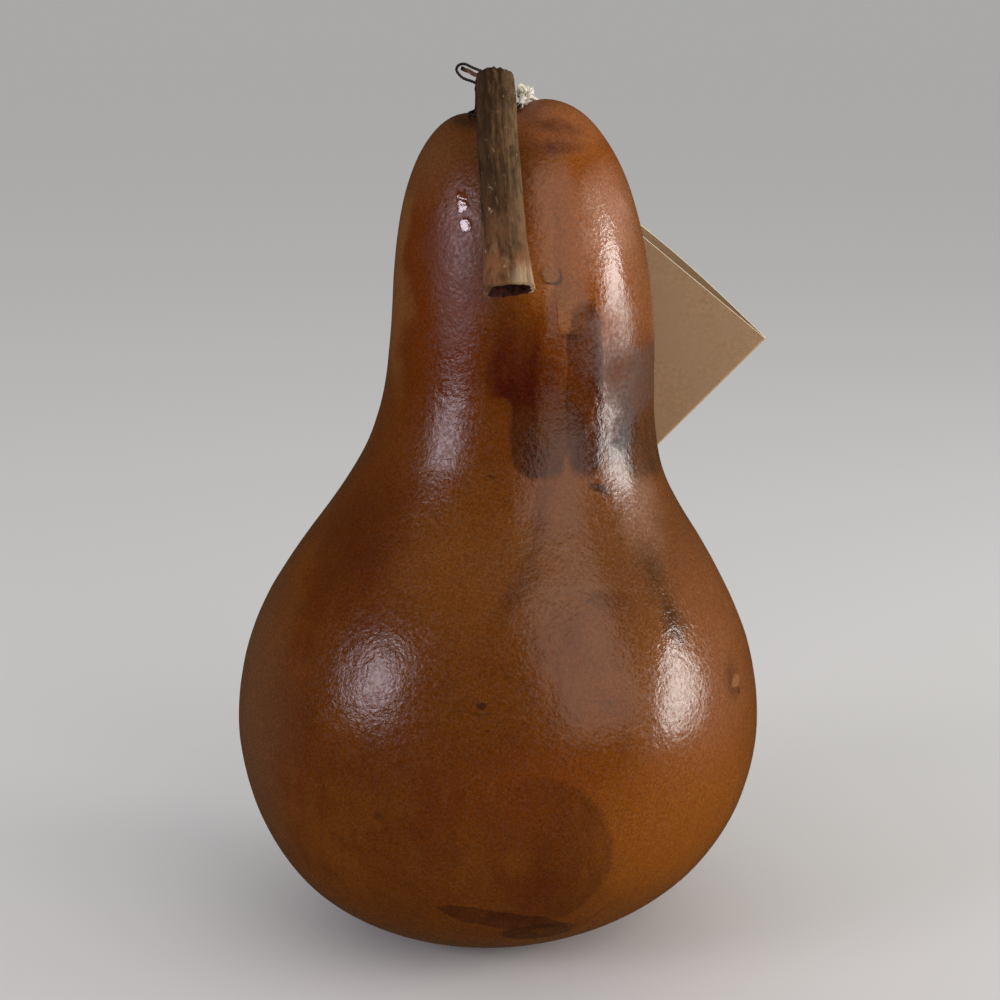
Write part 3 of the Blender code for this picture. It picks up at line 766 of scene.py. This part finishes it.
# Knot: the same cotton string tied in a fat knot and pulled tight beside the foot of the stem.
# It is teased out, so that it has short frayed ends and loose fibres all round.
knot_middle = Vector((0.0091, -0.0006, 0.1951))
knot_steps = 240
hair_count = 320
random.seed(5)
knot_line = []
for step in range(knot_steps + 1):
    t = 2 * math.pi * step / knot_steps
    bight = Vector((math.sin(t) + 2 * math.sin(2 * t), -math.sin(3 * t) * 1.3,
                    math.cos(t) - 2 * math.cos(2 * t)))
    knot_line.append(knot_middle + Vector((bight.x * 0.00046, bight.y * 0.0008, bight.z * 0.00064)))
ends = [
    smooth_through([(0.0090, -0.0016, 0.1947), (0.0084, -0.0028, 0.1934), (0.0080, -0.0036, 0.1924)], 0.0002),
    smooth_through([(0.0089, -0.0002, 0.1964), (0.0082, -0.0006, 0.1970), (0.0078, -0.0011, 0.1966)], 0.0002),
    smooth_through([(0.0096, -0.0004, 0.1962), (0.0104, -0.0007, 0.1960), (0.0108, -0.0011, 0.1953)], 0.0002),
    smooth_through([(0.0094, 0.0006, 0.1950), (0.0092, 0.0016, 0.1946), (0.0090, 0.0026, 0.1944)], 0.0002),
    smooth_through([(0.0100, 0.0004, 0.1950), (0.0104, 0.0014, 0.1946), (0.0106, 0.0023, 0.1944)], 0.0002),
]
strands = []
for line in [knot_line] + ends:
    strands += twisted(line, strands=2, spacing=0.00030, pitch=0.0024)
hairs = []
for hair in range(hair_count):
    root = random.choice(knot_line + ends[1] * 2 + ends[2] * 2)
    way = Vector([random.gauss(0, 1) for axis in range(3)]).normalized()
    curl = Vector([random.gauss(0, 1) for axis in range(3)]).normalized() * 0.0003
    length = random.uniform(0.0005, 0.0011)
    hairs.append([root + way * length * part + curl * part**2 for part in (0, 0.35, 0.7, 1)])
knot = tube_along("cotton_knot", strands, thickness=0.00080)
fluff = tube_along("knot_fluff", hairs, thickness=0.00006, sides=0)
for piece in (knot, fluff):
    piece.data.materials.append(cotton)
fluff.select_set(True)
knot.select_set(True)
bpy.context.view_layer.objects.active = knot
bpy.ops.object.join()
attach(knot, "root")
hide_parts("string_knot")

# Hang tag: a sheet of kraft card folded once, with its fold at the lower right. Its rear leaf bows
# away from the front one, and a hole punched through both leaves holds the string.
fold_top = Vector((0.0691, 0.0375, 0.1353))
leaf_width = 0.062
leaf_height = 0.050
card_thickness = 0.0004
roll = math.radians(40.75)
tilt = math.radians(16.5)
upright = Vector((0, -math.sin(tilt), math.cos(tilt)))
along_top = -math.cos(roll) * Vector((1, 0, 0)) + math.sin(roll) * upright
down_fold = -math.sin(roll) * Vector((1, 0, 0)) - math.cos(roll) * upright
behind = Vector((0, math.cos(tilt), math.sin(tilt)))
fold_gap = 0.0009
leaf_bow = 0.0070
bow_reach = 0.066
hole_radius = 0.0020
hole_inset = 0.005
fold_length = math.pi * fold_gap / 2
flat_width = 2 * leaf_width + fold_length

bpy.ops.object.select_all(action="DESELECT")
bpy.ops.mesh.primitive_grid_add(x_subdivisions=160, y_subdivisions=56, size=1)
card = bpy.context.object
card.name = "kraft_tag"
for vertex in card.data.vertices:
    across = (vertex.co.x + 0.5) * flat_width
    down = (0.5 - vertex.co.y) * leaf_height
    if across < leaf_width:
        along, back = leaf_width - across, 0.0
    elif across < leaf_width + fold_length:
        turn = (across - leaf_width) / fold_length * math.pi
        along, back = -math.sin(turn) * fold_gap / 2, (1 - math.cos(turn)) * fold_gap / 2
    else:
        along = across - leaf_width - fold_length
        back = fold_gap + leaf_bow * math.sin(math.pi * along / bow_reach)
    vertex.co = fold_top + along_top * along + down_fold * down + behind * back
place_in_mesh(card)
finish_with(card, "SOLIDIFY", thickness=card_thickness, offset=0.0)
hole = fold_top + along_top * (leaf_width - hole_inset) + down_fold * hole_inset
bpy.ops.object.select_all(action="DESELECT")
bpy.ops.mesh.primitive_cylinder_add(vertices=48, radius=hole_radius, depth=0.02, location=hole)
punch = bpy.context.object
punch.rotation_euler = behind.to_track_quat("Z", "Y").to_euler()
place_in_mesh(punch)
finish_with(card, "BOOLEAN", operation="DIFFERENCE", solver="EXACT", object=punch)
bpy.data.objects.remove(punch)

kraft_card, tree, shader = new_material("kraft_card")
where = node(tree, "ShaderNodeTexCoord").outputs["Object"]
pulp = spread(tree, clouds(tree, where, 0.0012, 5.0, 0.7), 0.3, 0.7)
cloudy = spread(tree, clouds(tree, where, 0.012, 3.0, 0.5), 0.3, 0.7)
tint = blend(tree, pulp, colour(186, 152, 118), colour(166, 134, 102))
tint = blend(tree, cloudy, tint, colour(174, 144, 113))
specks = spread(tree, clouds(tree, where, 0.0009, 2.0, 0.5), 0.74, 0.78, 0.0, 0.5)
tint = blend(tree, specks, tint, colour(110, 80, 54))
tree.links.new(tint, shader.inputs["Base Color"])
felt = clouds(tree, where, 0.0004, 4.0, 0.6)
make_uneven(tree, shader, times(tree, felt, 0.00005))
shader.inputs["Roughness"].default_value = 0.85
shader.inputs["Specular IOR Level"].default_value = 0.3
card.data.materials.append(kraft_card)

# the cut edges show the paler core of the card
card_edge, tree, shader = new_material("card_cut_edge")
where = node(tree, "ShaderNodeTexCoord").outputs["Object"]
core = spread(tree, clouds(tree, where, 0.0006, 4.0, 0.6), 0.3, 0.7)
tree.links.new(blend(tree, core, colour(255, 246, 218), colour(242, 224, 188)), shader.inputs["Base Color"])
shader.inputs["Roughness"].default_value = 0.9
card.data.materials.append(card_edge)
for face in card.data.polygons:
    side_edge = abs(face.normal.dot(down_fold)) > 0.9
    at_end = (face.center - fold_top).dot(along_top) > leaf_width - 0.0001
    end_edge = at_end and abs(face.normal.dot(along_top)) > 0.8
    at_hole = (face.center - hole).cross(behind).length < hole_radius * 1.1
    hole_edge = at_hole and abs(face.normal.dot(behind)) < 0.5
    face.material_index = int(side_edge or end_edge or hole_edge)
card.data.set_sharp_from_angle(angle=math.radians(40))
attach(card, "root")
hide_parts("hang_tag")

# Floor, lights and camera: a wide pale floor, a window low at each side and a dim broad one in front,
# in a softly lit room. The varnish mirrors the windows and little of the room.
bpy.ops.object.select_all(action="DESELECT")
bpy.ops.mesh.primitive_circle_add(vertices=96, radius=30, fill_type="NGON", location=(0, 0, -0.0002))
floor = bpy.context.object
floor.name = "pale_floor"
floor.visible_glossy = False
floor_paint, tree, shader = new_material("pale_floor")
shader.inputs["Base Color"].default_value = colour(236, 236, 236)
shader.inputs["Roughness"].default_value = 0.9
shader.inputs["Specular IOR Level"].default_value = 0.0
floor.data.materials.append(floor_paint)


def soft_light(name, turn, rise, distance, width, height, power, tint, shape="RECTANGLE", lean=0):
    """A soft light aimed at the middle of the gourd, placed by its direction from the front. Its top can
    lean away from the camera."""
    aim = Vector((0.004, 0, 0.10))
    flat = math.cos(math.radians(rise))
    way = Vector((math.sin(math.radians(turn)) * flat, -math.cos(math.radians(turn)) * flat,
                  math.sin(math.radians(rise))))
    lamp = bpy.data.lights.new(name, "AREA")
    lamp.shape = shape
    lamp.size = width
    lamp.size_y = height
    lamp.energy = power
    lamp.color = tint
    holder = bpy.data.objects.new(name, lamp)
    holder.location = aim + way * distance
    holder.rotation_euler = (-way).to_track_quat("-Z", "Y").to_euler()
    holder.rotation_euler.rotate_axis("Z", -math.radians(lean))
    holder.visible_camera = False
    bpy.context.collection.objects.link(holder)


soft_light(
    "left_window", turn=-57, rise=17.2, distance=1.3, width=0.50, height=0.43,
    power=4.3, tint=(0.95, 0.88, 1.0),
)
soft_light(
    "right_window", turn=85, rise=3.5, distance=0.9, width=0.34, height=0.54,
    power=4.6, tint=(1.0, 0.97, 0.94), shape="ELLIPSE", lean=38,
)
soft_light(
    "front_window", turn=39, rise=26, distance=1.6, width=1.20, height=1.38,
    power=6.6, tint=(1.0, 0.93, 0.86),
)
world = bpy.data.worlds.new("studio")
bpy.context.scene.world = world
world.use_nodes = True
tree = world.node_tree
room = tree.nodes["Background"]
rays = tree.nodes.new("ShaderNodeLightPath").outputs
paint = blend(tree, rays["Is Glossy Ray"], (0.86, 0.85, 0.83, 1.0), (1.0, 0.62, 0.35, 1.0))
tree.links.new(paint, room.inputs["Color"])
room_strength = 0.55
strength_seen = 0.464
strength_mirrored = 0.07
seen = node(tree, "ShaderNodeMix", {0: rays["Is Camera Ray"], 2: room_strength, 3: strength_seen})
dimmed = node(tree, "ShaderNodeMix", {0: rays["Is Glossy Ray"], 2: seen.outputs[0], 3: strength_mirrored})
tree.links.new(dimmed.outputs[0], room.inputs["Strength"])
bpy.context.scene.view_settings.view_transform = "Standard"

camera = bpy.data.cameras.new("photo_camera")
camera.lens = 72
camera.sensor_width = 36
camera.clip_start = 0.01
holder = bpy.data.objects.new("photo_camera", camera)
holder.location = (0.0036, -0.455, 0.205)
holder.rotation_euler = (math.radians(77.3), 0, 0)
bpy.context.collection.objects.link(holder)
bpy.context.scene.camera = holder
